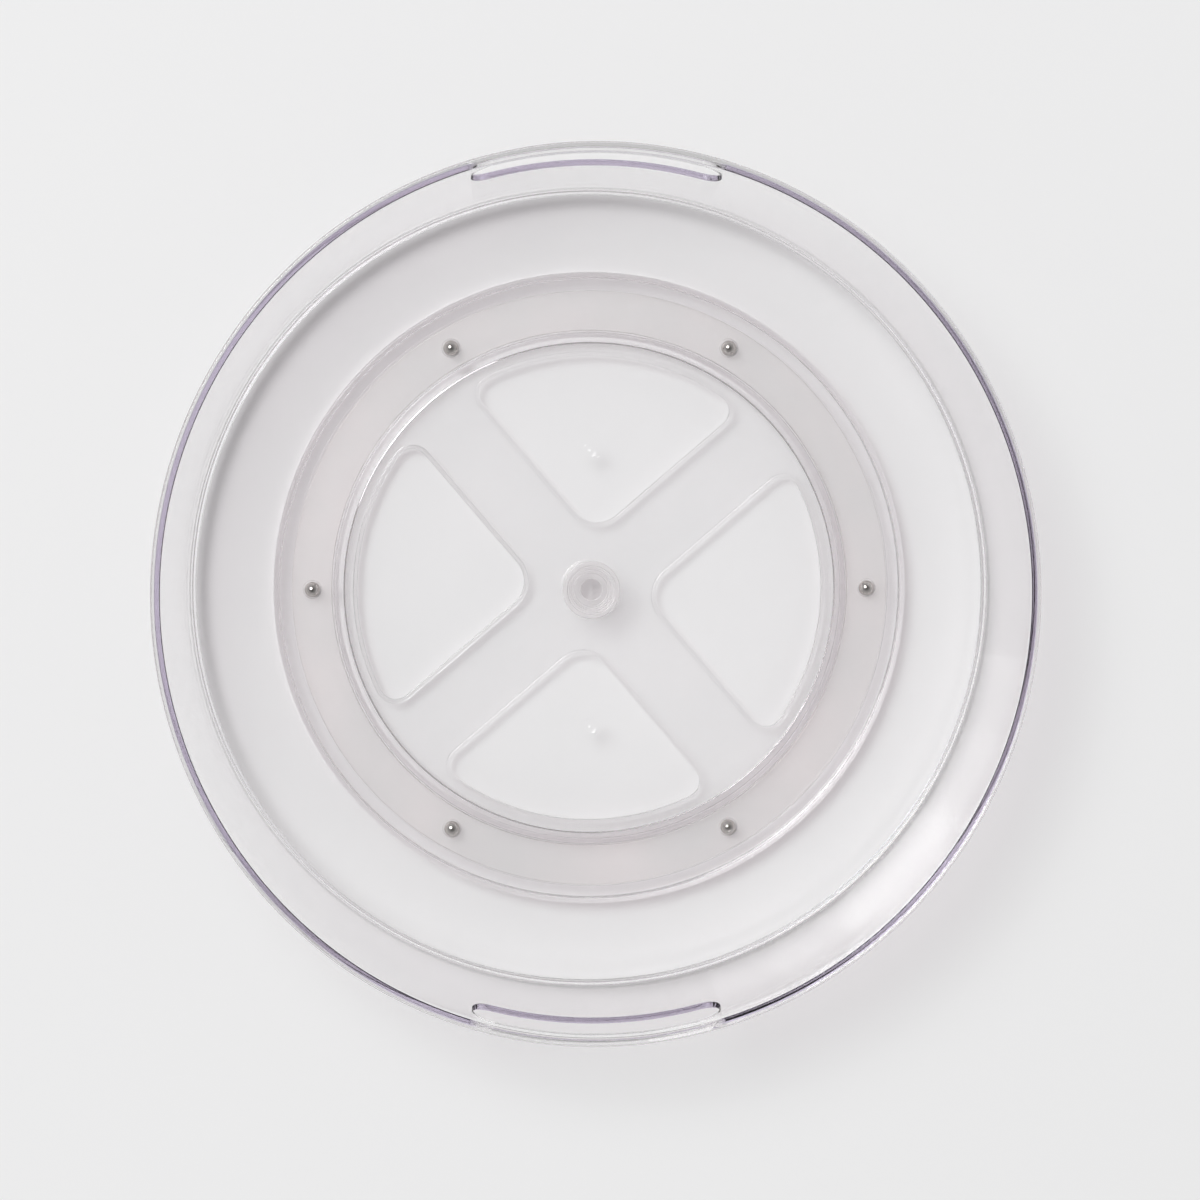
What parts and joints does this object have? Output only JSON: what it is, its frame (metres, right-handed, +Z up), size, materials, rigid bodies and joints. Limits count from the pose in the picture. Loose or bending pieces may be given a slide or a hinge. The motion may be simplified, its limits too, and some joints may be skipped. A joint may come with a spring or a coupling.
{
  "type": "turntable",
  "caption": "Clear plastic lazy Susan turntable: a flared round tray with two finger slots, turning on steel balls in a cage over a round ringed base.",
  "frame": {"origin": "on the spin axis, on the surface that the base stands on", "axes": "+Z up along the spin axis, +Y through the finger slot at the back, +X across to the right"},
  "size_m": [0.28, 0.2848, 0.055],
  "materials": {
    "clear_tray_plastic": "clear moulded, glossy, faint violet tint in the edges",
    "clear_base_plastic": "clear moulded, glossy",
    "clear_hub_plastic": "clear moulded, glossy",
    "frosted_cage_plastic": "frosted, lightly milky",
    "ball_steel": "polished bearing steel"
  },
  "bodies": {
    "base": {"base": "clear_base_plastic", "hub_button": "clear_hub_plastic"},
    "tray": {"tray": "clear_tray_plastic"},
    "ball_cage": {"ball_cage": "frosted_cage_plastic"},
    "ball_1": {"ball_1": "ball_steel"},
    "ball_2": {"ball_2": "ball_steel"},
    "ball_3": {"ball_3": "ball_steel"},
    "ball_4": {"ball_4": "ball_steel"},
    "ball_5": {"ball_5": "ball_steel"},
    "ball_6": {"ball_6": "ball_steel"}
  },
  "joints": [
    {"name": "tray_spin", "type": "hinge", "parent": "base", "child": "tray", "pos_m": [0, 0, 0], "axis": [0, 0, 1], "continuous": true},
    {"name": "cage_orbit", "type": "hinge", "parent": "base", "child": "ball_cage", "pos_m": [0, 0, 0], "axis": [0, 0, 1], "continuous": true},
    {"name": "ball_1_roll", "type": "hinge", "parent": "ball_cage", "child": "ball_1", "pos_m": [0.09, 0, 0.0066], "axis": [1, 0, 0], "continuous": true},
    {"name": "ball_2_roll", "type": "hinge", "parent": "ball_cage", "child": "ball_2", "pos_m": [0.045, 0.07794, 0.0066], "axis": [0.5, 0.866, 0], "continuous": true},
    {"name": "ball_3_roll", "type": "hinge", "parent": "ball_cage", "child": "ball_3", "pos_m": [-0.045, 0.07794, 0.0066], "axis": [-0.5, 0.866, 0], "continuous": true},
    {"name": "ball_4_roll", "type": "hinge", "parent": "ball_cage", "child": "ball_4", "pos_m": [-0.09, 0, 0.0066], "axis": [-1, 0, 0], "continuous": true},
    {"name": "ball_5_roll", "type": "hinge", "parent": "ball_cage", "child": "ball_5", "pos_m": [-0.045, -0.07794, 0.0066], "axis": [-0.5, -0.866, 0], "continuous": true},
    {"name": "ball_6_roll", "type": "hinge", "parent": "ball_cage", "child": "ball_6", "pos_m": [0.045, -0.07794, 0.0066], "axis": [0.5, -0.866, 0], "continuous": true}
  ],
  "couplings": [
    {"joint": "cage_orbit", "follows": "tray_spin", "ratio": 0.5},
    {"joint": "ball_1_roll", "follows": "tray_spin", "ratio": -18},
    {"joint": "ball_2_roll", "follows": "tray_spin", "ratio": -18},
    {"joint": "ball_3_roll", "follows": "tray_spin", "ratio": -18},
    {"joint": "ball_4_roll", "follows": "tray_spin", "ratio": -18},
    {"joint": "ball_5_roll", "follows": "tray_spin", "ratio": -18},
    {"joint": "ball_6_roll", "follows": "tray_spin", "ratio": -18}
  ]
}
